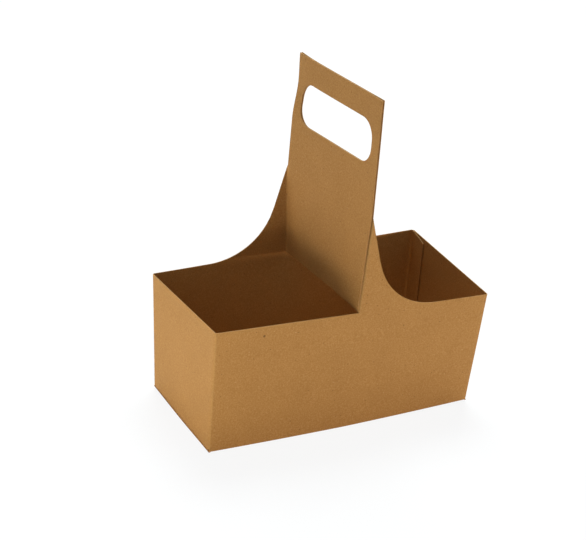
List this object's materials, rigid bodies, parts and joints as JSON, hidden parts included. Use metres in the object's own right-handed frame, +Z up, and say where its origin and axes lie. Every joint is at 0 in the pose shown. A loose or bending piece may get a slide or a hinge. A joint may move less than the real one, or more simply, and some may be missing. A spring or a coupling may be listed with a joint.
{
  "type": "cardboard cup carrier",
  "caption": "open tray folded from kraft board, with an upright double-layer divider that rises from its shoulders into a flat handle with a rounded hand hole",
  "frame": {"origin": "centre of the underside, on the surface that the tray stands on", "axes": "+X along the long walls, +Y across them from the front wall to the back wall, +Z up to the handle"},
  "size_m": [0.2022, 0.1002, 0.231],
  "materials": {
    "board": "matt unprinted kraft"
  },
  "bodies": {
    "root": {"folded_carrier": "board"}
  },
  "joints": []
}
